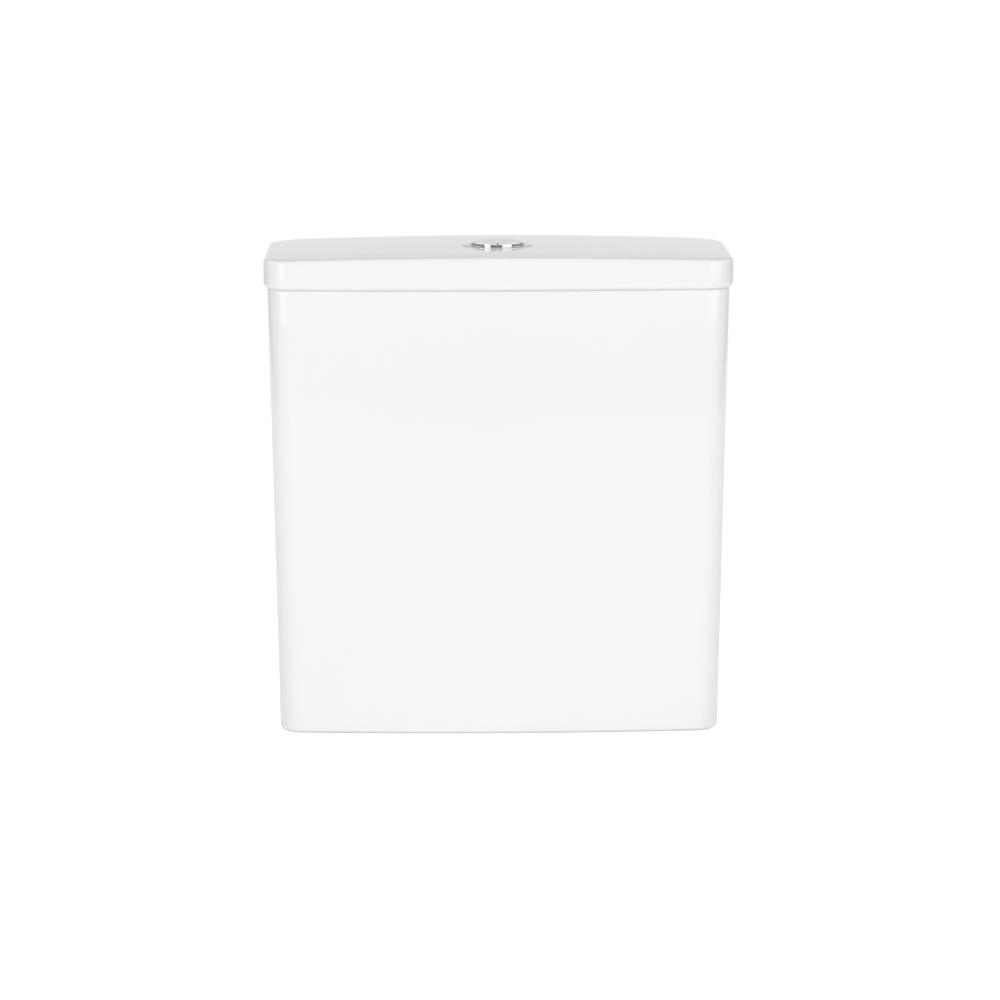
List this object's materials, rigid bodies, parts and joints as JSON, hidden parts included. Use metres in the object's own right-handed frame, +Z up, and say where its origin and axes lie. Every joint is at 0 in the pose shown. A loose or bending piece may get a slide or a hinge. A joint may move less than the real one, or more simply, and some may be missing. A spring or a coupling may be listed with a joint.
{
  "type": "toilet cistern",
  "caption": "Close-coupled glazed china toilet cistern with a lift-off lid, a dual-flush push button, a drop flush valve and a bottom-entry float fill valve.",
  "frame": {"origin": "under the middle of the cistern, on the plane of its foot", "axes": "+X to the right seen from the front, +Y towards the wall, +Z up"},
  "size_m": [0.376, 0.168, 0.3925],
  "materials": {
    "china": "clear glossy white glaze",
    "chrome": "bright plated",
    "white_plastic": "moulded satin white",
    "grey_plastic": "moulded satin grey",
    "blue_plastic": "moulded satin blue",
    "black_rubber": "matte moulded",
    "red_rubber": "soft silicone",
    "brass": "turned",
    "steel": "drawn stainless wire and pressed stainless sheet"
  },
  "bodies": {
    "cistern": {"tank": "china", "valve_base": "white_plastic", "valve_base_gasket": "black_rubber", "valve_locknut": "white_plastic", "coupling_seal": "black_rubber", "valve_cage": "white_plastic", "valve_tower": "white_plastic", "valve_head": "grey_plastic", "lever_pins": "steel", "coupling_bolts": "brass", "coupling_bolt_seals": "black_rubber", "coupling_bolt_washers": "steel", "coupling_bolt_nuts": "brass", "inlet_shank": "white_plastic", "inlet_filter": "grey_plastic", "inlet_washer": "black_rubber", "inlet_locknut": "white_plastic", "fill_riser": "white_plastic", "fill_head": "white_plastic", "fill_diaphragm": "black_rubber", "fill_cap": "blue_plastic", "float_arm_pin": "steel"},
    "lid_assembly": {"lid": "china", "button_bezel": "chrome", "bezel_gasket": "black_rubber", "bezel_nut": "white_plastic", "full_button_spring": "steel", "half_button_spring": "steel"},
    "full_button": {"full_flush_button": "chrome", "full_push_rod": "white_plastic"},
    "half_button": {"half_flush_button": "chrome", "half_push_rod": "white_plastic"},
    "full_rocker": {"full_lever": "white_plastic"},
    "half_rocker": {"half_lever": "blue_plastic"},
    "flush_stem": {"overflow_tube": "white_plastic", "flush_seal": "red_rubber", "seal_retainer": "white_plastic", "stem_collar": "white_plastic", "full_link": "steel"},
    "half_float": {"half_flush_float": "blue_plastic", "half_link": "steel"},
    "fill_float": {"float_cup": "white_plastic", "float_rod": "steel", "float_adjuster": "blue_plastic"},
    "fill_arm": {"float_arm": "white_plastic"}
  },
  "joints": [
    {"name": "lid_lift", "type": "slide", "parent": "cistern", "child": "lid_assembly", "axis": [0, 0, 1], "range_m": [0, 0.16]},
    {"name": "full_press", "type": "slide", "parent": "lid_assembly", "child": "full_button", "axis": [0, 0, -1], "range_m": [0, 0.008], "stiffness_N_per_m": 400, "springref_m": -0.008, "deforming": ["full_button_spring"]},
    {"name": "half_press", "type": "slide", "parent": "lid_assembly", "child": "half_button", "axis": [0, 0, -1], "range_m": [0, 0.008], "stiffness_N_per_m": 400, "springref_m": -0.008, "deforming": ["half_button_spring"]},
    {"name": "full_lever_turn", "type": "hinge", "parent": "cistern", "child": "full_rocker", "pos_m": [0.03, 0, 0.318], "axis": [0, -1, 0], "range_deg": [0, 24]},
    {"name": "half_lever_turn", "type": "hinge", "parent": "cistern", "child": "half_rocker", "pos_m": [-0.03, 0, 0.318], "axis": [0, 1, 0], "range_deg": [0, 24]},
    {"name": "stem_lift", "type": "slide", "parent": "cistern", "child": "flush_stem", "axis": [0, 0, 1], "range_m": [0, 0.0116]},
    {"name": "half_float_lift", "type": "slide", "parent": "cistern", "child": "half_float", "axis": [0, 0, 1], "range_m": [0, 0.0116]},
    {"name": "float_rise", "type": "slide", "parent": "cistern", "child": "fill_float", "axis": [0, 0, 1], "range_m": [0, 0.014]},
    {"name": "float_arm_turn", "type": "hinge", "parent": "cistern", "child": "fill_arm", "pos_m": [-0.118, 0.0221, 0.31], "axis": [-1, 0, 0], "range_deg": [0, 17.4]}
  ],
  "couplings": [
    {"joint": "full_lever_turn", "follows": "full_press", "rad_per_m": 51.991},
    {"joint": "stem_lift", "follows": "full_press", "ratio": 1.4355},
    {"joint": "half_lever_turn", "follows": "half_press", "rad_per_m": 51.991},
    {"joint": "half_float_lift", "follows": "half_press", "ratio": 1.4355},
    {"joint": "float_arm_turn", "follows": "float_rise", "rad_per_m": 21.528}
  ]
}
